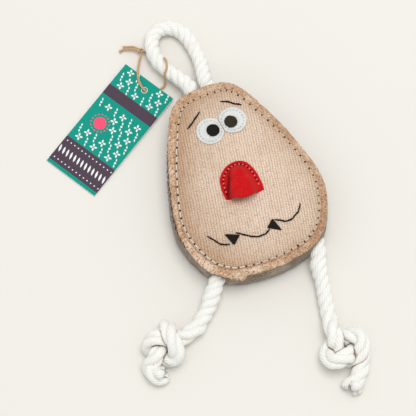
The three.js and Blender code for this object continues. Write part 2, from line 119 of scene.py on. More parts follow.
def smooth_line(points, closed=False, steps=16):
    """A centripetal Catmull-Rom line through the points, as the solids have it"""
    given = np.array(points, float)
    if closed:
        around = np.vstack([given[-1:], given, given[:2]])
    else:
        around = np.vstack([2 * given[0] - given[1], given, 2 * given[-1] - given[-2]])
    pieces = []
    for a, b, c, d in zip(around, around[1:], around[2:], around[3:]):
        g0, g1, g2 = (math.sqrt(norm(q - p)) for p, q in ((a, b), (b, c), (c, d)))
        t1 = ((b - a) / g0 - (c - a) / (g0 + g1) + (c - b) / g1) * g1
        t2 = ((c - b) / g1 - (d - b) / (g1 + g2) + (d - c) / g2) * g1
        s = np.linspace(0, 1, steps, endpoint=False)[:, None]
        pieces.append(b + t1 * s + (3 * (c - b) - 2 * t1 - t2) * s**2 + (2 * (b - c) + t1 + t2) * s**3)
    pieces.append(pieces[0][:1] if closed else given[-1:])
    return np.vstack(pieces)


def distances(line):
    return np.r_[0, np.cumsum(norm(np.diff(line, axis=0), axis=1))]


def along(line, at):
    """The places at those distances along a line"""
    known = distances(line)
    return np.stack([np.interp(at, known, line[:, axis]) for axis in range(line.shape[1])], axis=1)


def even(line, step):
    total = distances(line)[-1]
    return along(line, np.linspace(0, total, max(3, round(total / step) + 1)))


def line_frames(line):
    """For each point of a line, the way it runs and two directions across it that turn as little as they can"""
    run = unit(np.gradient(line, axis=0))
    side = np.empty_like(run)
    across = np.cross(run[0], (0, 0, 1) if abs(run[0][2]) < 0.9 else (1, 0, 0))
    for i, tangent in enumerate(run):
        across = across - tangent * np.dot(across, tangent)
        across /= norm(across)
        side[i] = across
    return run, side, np.cross(run, side)


def beside(way):
    """Two directions across a way, the first one level"""
    across = unit(np.cross(way, (0, 0, 1)))
    return across, np.cross(across, way)


def turned(points, angle):
    points = np.array(points, float)
    x, y = points[..., 0].copy(), points[..., 1].copy()
    points[..., 0] = x * math.cos(angle) - y * math.sin(angle)
    points[..., 1] = x * math.sin(angle) + y * math.cos(angle)
    return points


# Chance and smooth noise, the same in each run

def draws(seed):
    return np.random.default_rng(seed).uniform


def waves(at, length, seed):
    """Along a line, from about -1 to 1, with waves of about that length and shorter"""
    draw = draws(seed)
    total = np.zeros_like(at, dtype=float)
    for octave in range(3):
        for _ in range(2):
            rate = draw(0.7, 1.4) * 2**octave / length
            total += 0.42 * 0.55**octave * np.sin(TURN * (at * rate + draw()))
    return total


def ring_waves(turn, cycles, seed):
    """Round a closed ring, from about -1 to 1, with about that many waves"""
    draw = draws(seed)
    total = np.zeros_like(turn, dtype=float)
    for _ in range(6):
        total += 0.4 * np.sin(TURN * (round(draw(0.5, 1.6) * cycles) * turn + draw()))
    return total


def lumps(points, size, seed=0):
    """In space, one value a point, from about -1 to 1"""
    shape = points.shape[:-1]
    flat = (points / size + seed * 17.3).reshape(-1, 3)
    return np.array([noise.noise(Vector(point)) for point in flat]).reshape(shape) * 1.6


# Meshes: a part is its points, its faces, and the values that its material reads

def grid_faces(rows, columns, wrap=True):
    row = np.arange(rows - 1)[:, None] * columns
    column = np.arange(columns if wrap else columns - 1)[None, :]
    after = (column + 1) % columns
    quads = np.stack([row + column, row + after, row + columns + after, row + columns + column], axis=-1)
    return quads.reshape(-1, 4).tolist()


def fan(first, columns, middle, flip=False):
    faces = [(middle, first + i, first + (i + 1) % columns) for i in range(columns)]
    return [face[::-1] for face in faces] if flip else faces


def joined(parts):
    points, faces, values = [], [], {}
    for part_points, part_faces, part_values in parts:
        start = sum(len(p) for p in points)
        points.append(part_points)
        faces += [tuple(start + i for i in face) for face in part_faces]
        for key, data in part_values.items():
            values.setdefault(key, []).append(data)
    return np.vstack(points), faces, {key: np.concatenate(data) for key, data in values.items()}


def tube(line, radius, sides):
    """A closed tube. Its material reads how each point lies: the distance along, and the place round the line"""
    radius = np.broadcast_to(radius, len(line))
    run, side, lift = line_frames(line)
    angle = np.arange(sides) / sides * TURN
    spoke = np.cos(angle)[None, :, None] * side[:, None] + np.sin(angle)[None, :, None] * lift[:, None]
    rings = line[:, None] + radius[:, None, None] * spoke
    tips = np.array([line[0] - run[0] * radius[0] * 0.4, line[-1] + run[-1] * radius[-1] * 0.4])
    at = distances(line)
    round_it = [np.outer(radius, wave(angle)).ravel() for wave in (np.cos, np.sin)]
    lie = np.vstack([np.column_stack([np.repeat(at, sides), *round_it]), (at[0], 0, 0), (at[-1], 0, 0)])
    count = len(line) * sides
    faces = grid_faces(len(line), sides) + fan(0, sides, count, flip=True) + fan(count - sides, sides, count + 1)
    return np.vstack([rings.reshape(-1, 3), tips]), faces, {"lie": lie}


def laid(line, diameter, pitch, seed, strands=3, sides=14, step=1.2, loose=0, start=0.0):
    """Strands laid right-handed round a line. Over the loose length at its far end they come apart"""
    line = even(line, step)
    at = distances(line)
    thick = diameter(at) if callable(diameter) else np.full(len(at), float(diameter))
    turns = np.gradient(at) / (pitch(at) if callable(pitch) else pitch)
    twist = start + np.cumsum(turns) * TURN
    _, side, lift = line_frames(line)
    spread = np.clip(1 - (at[-1] - at) / loose, 0, 1) ** 1.5 if loose else np.zeros(len(at))
    share = 0.27 if strands == 3 else 0.29
    parts = []
    for k in range(strands):
        angle = twist + TURN * k / strands + 0.12 * waves(at, 22, seed + k)
        out = (0.5 - share) * thick * (1 + 0.9 * spread) * (1 + 0.08 * waves(at, 9, seed + 11 + k))
        core = line + out[:, None] * (np.cos(angle)[:, None] * side + np.sin(angle)[:, None] * lift)
        radius = share * thick * (1 + 0.045 * waves(at, 11, seed + 23 + k)) * (1 + 0.1 * spread)
        points, faces, values = tube(core, radius, sides)
        rows = np.r_[np.repeat(np.arange(len(at)), sides), 0, len(at) - 1]
        # 'deep' is a painted shade: it grows towards the rope's line, in the grooves where strands meet
        inward = 1 - norm(points - line[rows], axis=1) / (thick[rows] / 2)
        values["deep"] = np.clip(inward, 0, 1) * (1 - spread[rows])
        parts.append((points, faces, values))
    points, faces, values = joined(parts)
    # 'gap' is a painted shade where the rope comes near another of its turns
    points, values["gap"] = pressed(points, line, np.tile(rows, strands), thick.max())
    # The lowest places lie on the floor and don't go into it
    points[:, 2] = np.where(points[:, 2] < 1, 0.05 + 0.95 * np.exp(points[:, 2] - 1), points[:, 2])
    return points, faces, values


def drawn_tubes(numbers, seed, build):
    """Small tubes, each built from its number and its own random draws"""
    return joined([build(k, draws(seed + k)) for k in numbers])


def pressed(points, line, rows, thick):
    """Turns of one rope that touch flatten on each other. Also says how near each point comes to another turn"""
    apart = int(1.55 * thick / norm(line[1] - line[0]))
    other, near = np.zeros(len(points), int), np.zeros(len(points))
    for start in range(0, len(points), 2000):
        some = slice(start, start + 2000)
        away = norm(points[some, None] - line[None], axis=2)
        away[np.abs(rows[some, None] - np.arange(len(line))[None]) < apart] = 9.0 * thick
        other[some], near[some] = away.argmin(axis=1), away.min(axis=1)
    between = line[other] - line[rows]
    way = unit(between)
    past = np.sum((points - line[rows] - between / 2) * way, axis=1) + 0.12
    past = np.where(near < thick, np.maximum(past, 0), 0)
    return points - way * past[:, None], np.clip(1 - (near - 0.42 * thick) / (0.3 * thick), 0, 1)


def add_mesh(name, points, faces, finish):
    mesh = bpy.data.meshes.new(name)
    mesh.from_pydata((np.asarray(points) * MM).tolist(), [], [list(face) for face in faces])
    mesh.materials.append(finish)
    item = bpy.data.objects.new(name, mesh)
    bpy.context.collection.objects.link(item)
    return item


def make(name, part, finish, slot, *nodes, body="body"):
    """A piece: its mesh, its slot (not used), the solids that it replaces, and the body that it rides on, if on one"""
    points, faces, values = part
    piece = add_mesh(name, points, faces, finish)
    for key, data in values.items():
        kind, field = ("FLOAT_VECTOR", "vector") if np.ndim(data) == 2 else ("FLOAT", "value")
        attribute = piece.data.attributes.new(key, kind, "POINT")
        attribute.data.foreach_set(field, np.ravel(data).astype(np.float32))
    piece.data.shade_smooth()
    piece.data.update()
    if body:
        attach(piece, body)
    if nodes:
        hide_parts(*nodes)
    return piece


# Materials

class Finish:
    """A procedural material, made node by node. Its places are in millimetres, and its colour takes tints in turn"""

    def __init__(self, name, colour, rough, specular, sheen=0.0, sheen_rough=0.5):
        self.material = bpy.data.materials.new(name)
        self.material.use_nodes = True
        self.tree = self.material.node_tree
        self.shader = self.tree.nodes["Principled BSDF"]
        self.colour = colour
        self.put(self.shader.inputs["Roughness"], rough)
        self.put(self.shader.inputs["Specular IOR Level"], specular)
        self.put(self.shader.inputs["Sheen Weight"], sheen)
        self.put(self.shader.inputs["Sheen Roughness"], sheen_rough)

    def put(self, socket, value):
        if isinstance(value, bpy.types.NodeSocket):
            self.tree.links.new(value, socket)
        else:
            socket.default_value = value

    def add(self, kind, inputs, **settings):
        node = self.tree.nodes.new("ShaderNode" + kind)
        for key, value in settings.items():
            setattr(node, key, value)
        for key, value in inputs.items():
            self.put(node.inputs[key], value)
        return node

    def calc(self, operation, *values):
        return self.add("Math", dict(enumerate(values)), operation=operation).outputs[0]

    def times(self, a, b):
        return self.calc("MULTIPLY", a, b)

    def plus(self, a, b):
        return self.calc("ADD", a, b)

    def places(self, turn=0):
        where = self.add("TexCoord", {}).outputs["Object"]
        inputs = {"Vector": where, "Scale": [1 / MM] * 3, "Rotation": (0, 0, turn)}
        return self.add("Mapping", inputs).outputs["Vector"]

    def scaled(self, where, *stretch):
        return self.add("Mapping", {"Vector": where, "Scale": stretch}).outputs["Vector"]

    def split(self, where):
        return self.add("SeparateXYZ", {"Vector": where}).outputs

    def value(self, name, output="Fac"):
        return self.add("Attribute", {}, attribute_name=name).outputs[output]

    def noise(self, where, size, detail=3, roughness=0.55):
        inputs = {"Vector": where, "Scale": 1 / size, "Detail": detail, "Roughness": roughness}
        return self.add("TexNoise", inputs).outputs["Fac"]

    def span(self, value, low, high, to_low=0.0, to_high=1.0):
        inputs = {"Value": value, "From Min": low, "From Max": high, "To Min": to_low, "To Max": to_high}
        return self.add("MapRange", inputs, interpolation_type="SMOOTHSTEP").outputs["Result"]

    def tint(self, other, value, *span, blend="MIX"):
        """Adds another colour, written as a screen shows it, by a value or by where that value is in a span"""
        share = self.span(value, *span) if span else value
        before = srgb(*self.colour) if isinstance(self.colour, tuple) else self.colour
        inputs = {0: share, 6: before, 7: srgb(*other)}
        self.colour = self.add("Mix", inputs, data_type="RGBA", blend_type=blend).outputs[2]

    def bump(self, height, depth, below=None):
        node = self.add("Bump", {"Height": height, "Distance": depth * MM, "Strength": 1.0})
        if below:
            self.put(node.inputs["Normal"], below)
        return node.outputs["Normal"]

    def done(self, normal=None):
        self.put(self.shader.inputs["Base Color"], self.colour)
        if normal:
            self.put(self.shader.inputs["Normal"], normal)
        return self.material


def suede(name, base, dark, light, speck, flecks, darkening=None):
    finish = Finish(name, dark, 0.95, 0.15, sheen=0.25)
    where = finish.places()
    blotch = finish.noise(where, 2.6, 4, 0.65)
    grain = finish.noise(where, 0.75, 3, 0.7)
    fleck = finish.noise(where, 1.3, 3, 0.75)
    finish.tint(base, blotch, 0.36, 0.66)
    finish.tint(light, finish.noise(where, 15, 3), 0.42, 0.66, 0, 0.7)
    finish.tint(speck, grain, 0.53, 0.66, 0, 0.75)
    finish.tint(light, grain, 0.44, 0.3, 0, 0.5)
    finish.tint(speck, fleck, 0.53, 0.64, 0, flecks)
    finish.tint(light, fleck, 0.44, 0.34, 0, flecks)
    # Darker by the 'shade' values: on the front border these follow the turn round the outline
    if darkening:
        finish.tint(darkening, finish.value("shade"), blend="MULTIPLY")
    return finish.done(finish.bump(grain, 0.3, finish.bump(blotch, 0.5)))


def jute_cloth():
    """Plain cloth whose upright yarns stand out as ribs, with fuzz and slubs, and painted shade near its edges and
    under the nose
    """
    finish = Finish("jute_cloth", (187, 158, 132), 0.9, 0.2, sheen=0.1)
    where = finish.places(math.radians(11.4))
    split = finish.split(where)
    wobble = finish.calc("SUBTRACT", finish.noise(where, 5, 2), 0.5)
    ribs = []
    for axis, drift, width in (("X", 1.4, 1.9), ("Y", 2.2, 1.5)):
        place = finish.plus(split[axis], finish.times(wobble, drift))
        ribs.append(finish.calc("SINE", finish.times(place, math.pi / width)))
    over = finish.times(*ribs)
    heights = []
    for rib, crossing in zip(ribs, ((-0.7, 0.7, 0.62, 1), (0.7, -0.7, 0.3, 0.8))):
        full = finish.calc("POWER", finish.calc("ABSOLUTE", rib), 0.7)
        heights.append(finish.times(full, finish.span(over, *crossing)))
    weave = finish.calc("MAXIMUM", *heights)
    fuzz = finish.noise(where, 0.55, 3, 0.75)
    streak = finish.noise(finish.scaled(where, 1, 0.09, 1), 0.9, 3, 0.6)
    slub = finish.noise(finish.scaled(where, 0.2, 1, 1), 0.8, 3, 0.6)
    finish.tint((241, 225, 209), weave, 0.3, 0.9)
    finish.tint((233, 216, 197), streak, 0.4, 0.64, 0, 0.55)
    finish.tint((196, 154, 120), slub, 0.54, 0.66, 0, 0.6)
    finish.tint((150, 106, 74), fuzz, 0.57, 0.66, 0, 0.85)
    finish.tint((198, 162, 132), finish.noise(where, 24, 2), 0.35, 0.65, 0.15, 0)
    # Painted shade and painted shadow: darker by the 'shade' values, near the edges, on the left and top, and under the
    # nose
    finish.tint((216, 199, 183), finish.value("shade"), blend="MULTIPLY")
    return finish.done(finish.bump(finish.plus(weave, finish.times(fuzz, 0.5)), 0.28))


def felt(name, base, dark, light, sheen=0.3, crease=None):
    finish = Finish(name, dark, 0.95, 0.15, sheen, 0.6)
    where = finish.places()
    fibres = [finish.noise(finish.scaled(where, *way), 0.5, 4, 0.7) for way in ((1, 0.25, 1), (0.25, 1, 1))]
    mat = finish.calc("MAXIMUM", *fibres)
    finish.tint(base, mat, 0.45, 0.68)
    finish.tint(light, finish.noise(where, 5, 3), 0.4, 0.65, 0, 0.5)
    # Painted shade where the 'shade' values say, as in the nose's crease
    if crease:
        finish.tint(crease, finish.value("shade"))
    return finish.done(finish.bump(mat, 0.35))


def yarn(name, base, deep, gap, lines=4, slope=0.9, ridge=0.08, sheen=0.2):
    """Thread or rope: fine yarns round each strand, with painted shade between the yarns, where strands meet and where
    turns meet
    """
    finish = Finish(name, base, 0.9, 0.2, sheen)
    lie = finish.value("lie", "Vector")
    split = finish.split(lie)
    mottle = finish.noise(lie, ridge * 9, 3)
    angle = finish.calc("ARCTAN2", split["Z"], split["Y"])
    phase = finish.plus(finish.times(angle, float(lines)), finish.times(split["X"], slope * lines))
    phase = finish.plus(phase, finish.times(mottle, 4.0))
    height = finish.calc("ABSOLUTE", finish.calc("SINE", finish.times(phase, 0.5)))
    # Painted shade between the yarns (height), where strands meet (deep) and where turns touch (gap); the mottle is the
    # yarn's own uneven tone
    finish.tint(deep, height, 0.05, 0.6, 0.35, 0)
    finish.tint(deep, mottle, 0.55, 0.72, 0, 0.35)
    finish.tint(deep, finish.value("deep"), 0.2, 0.62, 0, 0.85)
    finish.tint(gap, finish.value("gap"), 0.55, 1.1, 0, 0.75)
    fuzz = finish.noise(lie, ridge * 1.4, 4, 0.7)
    return finish.done(finish.bump(finish.plus(height, finish.times(fuzz, 0.8)), ridge))


def paper(name, base, dark):
    finish = Finish(name, base, 0.7, 0.2)
    where = finish.places()
    pulp = finish.noise(where, 0.5, 4, 0.7)
    finish.tint(dark, pulp, 0.35, 0.65, 0.25, 0)
    finish.tint(dark, finish.noise(where, 18, 2), 0.4, 0.7, 0, 0.2)
    return finish.done(finish.bump(pulp, 0.03))


def floor_finish():
    finish = Finish("floor", (231, 228, 221), 0.9, 0.1)
    finish.tint((230, 227, 220), finish.noise(finish.places(), 160, 2), 0.3, 0.7, 0, 0.3)
    return finish.done()


# Body: the sewn outline, its right half told from the bottom to the top as shares of its half sizes

HALF_SIZES = (54, 69.5)
SEAM_HEIGHT, CROWN = 22.3, 7
# The jute's surface lies this much over the suede's
CLOTH = 1.3
OUTLINE_SHARES = [
    (0, -1), (0.31, -0.985), (0.54, -0.94), (0.67, -0.885), (0.8, -0.784), (0.935, -0.583), (1, -0.38),
    (0.98, -0.18), (0.92, 0.02), (0.8, 0.324), (0.64, 0.626), (0.51, 0.827), (0.4, 0.928), (0.25, 0.983), (0, 1),
]
# Rings of places run parallel to the outline as far in as this, and then shrink towards the middle
FLAT_RINGS = 9


def outline_line():
    right = np.array(OUTLINE_SHARES) * HALF_SIZES
    left = right[1:-1][::-1] * (-1, 1)
    return even(smooth_line(np.vstack([right, left]), closed=True, steps=24), 0.27)


outline = outline_line()
outline_run = unit(np.gradient(np.vstack([outline[-2:-1], outline, outline[1:2]]), axis=0)[1:-1])
outline_out = np.stack([outline_run[:, 1], -outline_run[:, 0]], axis=1)
turn_grid = np.linspace(0, 1, len(outline))
by_angle = np.argsort(np.arctan2(outline[:-1, 1], outline[:-1, 0]))
outline_angle = np.arctan2(outline[:-1, 1], outline[:-1, 0])[by_angle]
outline_reach = norm(outline[:-1], axis=1)[by_angle]


def on_outline(turn, table):
    return np.stack([np.interp(turn % 1, turn_grid, table[:, axis]) for axis in (0, 1)], axis=-1)


def face_height(x, y):
    share = np.hypot(x, y) / np.interp(np.arctan2(y, x), outline_angle, outline_reach, period=TURN)
    return SEAM_HEIGHT + CLOTH + CROWN * (1 - np.minimum(share, 1) ** 2.4)


def round_place(middle, radius, angle):
    return middle[0] + radius * np.cos(angle), middle[1] + radius * np.sin(angle)


def on_face(x, y, lift):
    """Places over the face, given by where they are and how high over it"""
    return np.column_stack([x, y, face_height(x, y) + lift])


def inset_place(turn, inset):
    """A place by its turn round the outline and its distance in from it"""
    inset = inset + 0 * turn
    near = on_outline(turn, outline) - on_outline(turn, outline_out) * np.minimum(inset, FLAT_RINGS)[..., None]
    inner = 1 - np.maximum(inset - FLAT_RINGS, 0) / 50
    return near * inner[..., None]


STITCHES = 68


def border_growth(turn):
    """How much wider the suede border is round the crown than below"""
    return np.interp(turn % 1, (0.25, 0.38, 0.5, 0.6, 0.78), (0, 0.8, 2.1, 1.6, 0))


def stitch_inset(turn):
    corner = bell(turn % 1 - 0.17, 0.05) + bell(turn % 1 - 0.83, 0.05)
    return 5.1 + border_growth(turn) + 0.7 * corner + 0.15 * ring_waves(turn, 20, 5)


def front_sag(turn, inset):
    """The stitching draws the front down along its line, and puckers it on both sides"""
    away = inset - stitch_inset(turn)
    beat = 0.75 + 0.25 * np.cos(TURN * STITCHES * turn)
    line = -0.85 * bell(away, 1.25) * beat
    pucker = 0.2 * np.exp(-np.abs(away) / 4) * ring_waves(turn, 75, 8)
    return line + pucker


def face_place(turn, inset):
    """A place on the jute face"""
    place = inset_place(turn, inset)
    x, y = place[..., 0], place[..., 1]
    lie = np.stack([x, y, 0 * x], axis=-1)
    z = face_height(x, y) + front_sag(turn, inset) + 0.35 * lumps(lie, 16) * np.clip((inset - 6) / 12, 0, 1)
    return np.stack([x, y, z], axis=-1)


AROUND = 480
turns = np.arange(AROUND) / AROUND


def level_ring(inset, height, turn=turns):
    return np.column_stack([inset_place(turn, inset), np.full(len(turn), float(height))])


def ripple(cycles, seed):
    return ring_waves(turns, cycles, seed)


def ring_part(rings, closed_end=True, **values):
    """A surface through rings of places, closed at its last ring"""
    rings = np.array(rings)
    count, columns = rings.shape[:2]
    points = rings.reshape(-1, 3)
    faces = grid_faces(count, columns)
    if closed_end:
        points = np.vstack([points, rings[-1].mean(axis=0)])
        faces += fan((count - 1) * columns, columns, count * columns)
    return points, faces, values


def jute_face():
    edge = 4.1 + border_growth(turns) + 0.22 * ripple(60, 3) + 0.14 * ripple(150, 4)
    insets = [0, 0, 0, 0.25, 0.6, *np.arange(1.0, 5.4, 0.45), *np.linspace(6, 54.5, 52)]
    rings = [face_place(turns, edge + inset) for inset in insets]
    for ring, drop in zip(rings, (1.1, 0.6, 0.15)):
        ring[:, 2] -= drop
    points, faces, values = ring_part(rings)
    # Painted shade darkens it near its edge and on its left and upper sides, and a painted shadow lies under the nose
    leftward = smooth(0.2 - on_outline(turns, outline_out)[:, 0])
    upward = smooth(on_outline(turns, outline_out)[:, 1] - 0.3)
    side = 0.5 + 0.7 * leftward + 0.3 * upward
    darkening = [0.35 * math.exp(-inset / 4) + side * math.exp(-inset / 20) for inset in insets]
    painted_nose_shadow = np.exp(-(((points[:, 0] + 7) / 8) ** 2) - ((points[:, 1] + 18.4) / 2.3) ** 2)
    values["shade"] = np.clip(np.r_[np.ravel(darkening), 0.0] + painted_nose_shadow, 0, 1.1)
    return points, faces, values


# How far the loose lower edge of the border reaches out, by the turn round the outline
LOOSE_EDGE = np.array([
    (0.5, 0), (0.62, 0), (0.7, -0.9), (0.79, -1), (0.83, -0.3), (0.85, 0.7), (0.885, 1.5), (0.905, 1.1), (0.925, 1.7),
    (0.938, 3.3), (0.943, 3.0), (0.949, 0.4), (0.975, 0.6), (1.01, 0.9), (1.028, 0.9), (1.032, 0.1), (1.065, 0.8),
    (1.1, 0.3), (1.15, 0), (1.5, 0),
])
# How far the wall bulges out, by the turn, and by the share of its height
WALL_BULGE = np.array([
    (0, 3.2), (0.05, 2.9), (0.1, 1.9), (0.2, 0.9), (0.3, 0.6), (0.6, 0.6), (0.7, 1.1), (0.8, 1.9), (0.86, 2.3),
    (0.89, 2.6), (0.95, 2.9), (1, 3.2),
])
BULGE_UP = np.array([(0, 0), (0.03, 0.7), (0.1, 0.95), (0.3, 1), (0.7, 0.75), (1, 0)])
WALL_FOOT, WALL_TOP = 1.4, 21.3
WALL_EXITS = np.array([(-40.05, -61.68, 11), (33.36, -66.32, 11), (-5.4, 72.1, 11), (6.6, 72.1, 11)])
# How grey the suede border is, by the turn
BORDER_SHADE = np.array([(0, 0.1), (0.1, 0.75), (0.2, 0.45), (0.4, 0.3), (0.5, 0.5), (0.6, 0), (1, 0.1)])


def suede_border():
    """The suede front: a rolled, cut edge proud of the wall, and a border that runs in under the jute"""
    profile = [
        (1.6, -1.5), (0.2, -1.6), (-0.25, -1.35), (-0.42, -0.9), (-0.4, -0.4), (-0.15, 0), (0.35, 0.2), (1, 0.33),
        (1.7, 0.4), (2.4, 0.4), (3.1, 0.3), (3.7, 0.1), (4.2, -0.1), (4.8, -0.35), (5.4, -0.5), (6.4, -0.45), (8, -0.3),
    ]
    wave = 0.16 * ripple(45, 12) + 0.1 * ripple(140, 13)
    loose = np.interp((turns + 0.5) % 1, LOOSE_EDGE[:, 0] - 0.5, LOOSE_EDGE[:, 1])
    loose = loose * (1 + 0.12 * ripple(110, 15)) + 0.25 * np.clip(loose, 0, 1) * ripple(170, 16)
    rings = []
    for inset, lift in profile:
        pull = loose * smooth((5 - inset) / 4)
        place = inset_place(turns, inset + border_growth(turns) * smooth((inset - 1) / 2.5) + wave - pull)
        lift = lift - CLOTH + 0.12 * ripple(90, 14) + 0.4 * front_sag(turns, inset) - 0.3 * pull
        rings.append(on_face(*place.T, lift))
    rings = np.array(rings)
    rings[..., 2] += 0.16 * lumps(rings, 1.6, 2) + 0.2 * lumps(rings, 4, 3)
    return ring_part(rings, closed_end=False, shade=np.tile(np.interp(turns, *BORDER_SHADE.T), len(rings)))


def wall():
    rings = []
    for share in np.linspace(0, 1, 31):
        bulge = np.interp(turns, *WALL_BULGE.T) * np.interp(share, *BULGE_UP.T)
        fold = 0.12 * ripple(30, 21) + 0.08 * ring_waves(turns + 0.02 * share, 70, 22)
        tuck = 0.4 + 0.6 * np.sin(math.pi * share) ** 0.5
        rings.append(level_ring(-bulge - fold * tuck, WALL_FOOT + (WALL_TOP - WALL_FOOT) * share))
    rings = np.array(rings + [level_ring(2.6, 21.2)])
    out = np.column_stack([on_outline(turns, outline_out), np.zeros(AROUND)])[None]
    rings = rings + out * (0.1 * lumps(rings, 3.5, 5) + 0.2 * lumps(rings, 14, 6))[..., None]
    # Each rope draws the wall in where it goes through, with a raised ring round it
    for exit_place in WALL_EXITS:
        away = norm(rings - exit_place, axis=2)
        rings -= out * (1.5 * np.exp(-((away / 6.2) ** 4)) - 0.5 * bell(away - 8.4, 1.8))[..., None]
    return ring_part(rings, closed_end=False)


def back():
    profile = [
        (0.6, 3.6), (-0.3, 3.5), (-0.55, 2.9), (-0.35, 2.2), (0.2, 1.6), (1.2, 1), (2.7, 0.55), (5, 0.2), (8, 0.02),
        (9, 0), (20, 0), (35, 0), (50, 0),
    ]
    wave = 0.15 * ripple(50, 31) + 0.08 * ripple(130, 32)
    points, faces, values = ring_part([level_ring(inset + wave * (inset < 2), z) for inset, z in profile])
    return points, [face[::-1] for face in faces], values


def stuffing():
    profile = [(12, 1.8), (6, 3), (3, 5.5), (0.5, 10), (1, 15), (3.5, 19.5), (8, 22), (20, 24.5), (35, 26), (50, 26.6)]
    rings = [level_ring(inset, z, turns[::4]) for inset, z in profile]
    points, faces, values = ring_part([rings[0] * (0.02, 0.02, 1)] + rings)
    points[:, :2] *= (1 - 0.025 * (1 + lumps(points, 6, 9)))[:, None]
    return points, faces, values


# Sewing

LEFT_EYE, RIGHT_EYE = np.array((-0.117, 0.503)), np.array((0.209, 0.53))
LEFT_PUPIL, RIGHT_PUPIL = (-0.082, 0.497), (0.176, 0.516)
EYE_RADIUS, EYE_STITCHES = 9.75, 20
FELT_LIFT, FELT_THICKNESS = 0.1, 1.2
# The ring of stitches lies at this share of the eye's radius
STITCH_RING = 0.8
PUPIL_RADIUS, PUPIL_LIFT = 4.45, 1.25


def face_stitches(chosen):
    threads, holes = [], []
    for i in chosen:
        draw = draws(700 + i)
        start = (i + 0.5) / STITCHES
        share = np.linspace(0.13 + draw(0, 0.04), 0.87 - draw(0, 0.06), 9)
        turn = start + share / STITCHES
        line = face_place(turn, stitch_inset(turn) + draw(-0.12, 0.12))
        line[:, 2] += 0.42 * np.sin(math.pi * np.linspace(0.08, 0.92, 9)) ** 0.6 - 0.12
        threads.append(laid(line, draw(0.85, 1.05), 3.2, i, strands=2, sides=6, step=0.4))
        # A dark tube sunk in each needle hole: painted shade
        turn = np.array([start - 0.07 / STITCHES, start, start + 0.07 / STITCHES])
        line = face_place(turn, stitch_inset(turn) + draw(-0.1, 0.1))
        line[:, 2] -= 0.22
        holes.append(tube(line, np.array([0.7, 1.0, 0.7]) * draw(0.75, 1.15), 8))
    return joined(threads), joined(holes)


def seam_threads(count, inset, lift, slant, seed):
    """Short dark stitches over a cut edge at the toy's left, from the top of the border round to the wall"""
    def stitch(k, draw):
        turn = np.full(5, (k + draw(-0.12, 0.12)) / count)
        turn += np.linspace(0, slant * draw(0.6, 1.2), 5) / count
        line = np.column_stack([inset_place(turn, np.array(inset)), np.array(lift) + draw(-0.1, 0.1)])
        return tube(smooth_line(line, steps=3), draw(0.3, 0.42), 6)
    return drawn_tubes([k for k in range(count) if 0.62 < k / count < 0.84], seed, stitch)


def eye_apart(x, y, eye):
    """Keeps an eye's disc on its side of the line where the two eyes meet"""
    middle, way = (LEFT_EYE + RIGHT_EYE) / 2 * HALF_SIZES, unit((RIGHT_EYE - LEFT_EYE) * HALF_SIZES)
    if np.dot(eye - middle, way) > 0:
        way = -way
    over = np.maximum((x - middle[0]) * way[0] + (y - middle[1]) * way[1] + 0.3, 0)
    return x - over * way[0], y - over * way[1]


def eye_felt(share, seed):
    """A felt disc on the face, with dimples where it is sewn"""
    eye = share * HALF_SIZES
    angle = np.arange(96) / 96 * TURN
    spots = [round_place(eye, STITCH_RING * EYE_RADIUS, (k + 0.5) / EYE_STITCHES * TURN) for k in range(EYE_STITCHES)]
    edge = EYE_RADIUS * (1 + 0.012 * ring_waves(angle / TURN, 5, seed) + 0.006 * ring_waves(angle / TURN, 20, seed + 1))
    rim = [(0.985, 1), (1, 0.8), (1.005, 0.5), (1, 0.2)]
    profile = [(out, drop * FELT_THICKNESS) for out, drop in rim]
    profile += [(out, 0.06 * max(0, out - 0.9) / 0.1) for out in np.linspace(0.99, 0.02, 30)]
    rings = []
    for out, drop in profile:
        x, y = eye_apart(*round_place(eye, out * edge, angle), eye)
        drop = drop + 0.22 * bell(out - STITCH_RING, 0.07)
        for spot_x, spot_y in spots:
            drop = drop + 0.42 * bell(np.hypot(x - spot_x, y - spot_y), 0.75)
        rings.append(on_face(x, y, FELT_LIFT + FELT_THICKNESS - drop))
    rings = np.array(rings)
    rings[4:, :, 2] += 0.1 * lumps(rings[4:], 1.1, seed)
    return ring_part(rings)


def eye_stitches(share):
    lift = FELT_LIFT + FELT_THICKNESS - 0.52 + 0.1 * np.sin(np.linspace(0, math.pi, 5))

    def stitch(k, draw):
        angle = (k + 0.5) / EYE_STITCHES * TURN + np.linspace(-0.055, 0.055, 5) * draw(0.9, 1.5)
        r = STITCH_RING * EYE_RADIUS + draw(-0.15, 0.15)
        return tube(on_face(*round_place(share * HALF_SIZES, r, angle), lift), 0.26, 6)
    return drawn_tubes(range(EYE_STITCHES), EYE_STITCHES * 31, stitch)


def pupil(share, seed):
    """A patch of black embroidery: an uneven edge, and threads that run across it"""
    middle = np.array(share) * HALF_SIZES
    rows = 15

    def thread(k, draw):
        v = (k + 0.5) / rows * 2 - 1
        half = PUPIL_RADIUS * math.sqrt(max(1 - v * v, 0.05)) * draw(0.93, 1.05)
        u = np.linspace(-half, half, 13) + draw(-0.15, 0.15)
        x = middle[0] + u * 0.94 - v * PUPIL_RADIUS * 0.34
        y = middle[1] + u * 0.34 + v * PUPIL_RADIUS * 0.94
        bow = np.sqrt(np.clip(1 - (u / (half * 1.04)) ** 2, 0, 1)) * math.sqrt(1 - (v * 0.9) ** 2)
        return tube(on_face(x, y, PUPIL_LIFT + 0.25 + 0.75 * bow), 0.42 * draw(0.9, 1.1), 7)
    turn = np.arange(26) / 26
    edge = PUPIL_RADIUS * 0.95 * (1 + 0.04 * ring_waves(turn, 7, seed))
    profile = ((1, 0), (1, 0.3), (0.85, 0.6), (0.4, 0.85), (0.05, 0.9))
    rings = [on_face(*round_place(middle, out * edge, turn * TURN), PUPIL_LIFT + lift) for out, lift in profile]
    points, faces, _ = ring_part(rings)
    return joined([drawn_tubes(range(rows), seed, thread), (points, faces, {"lie": points})])


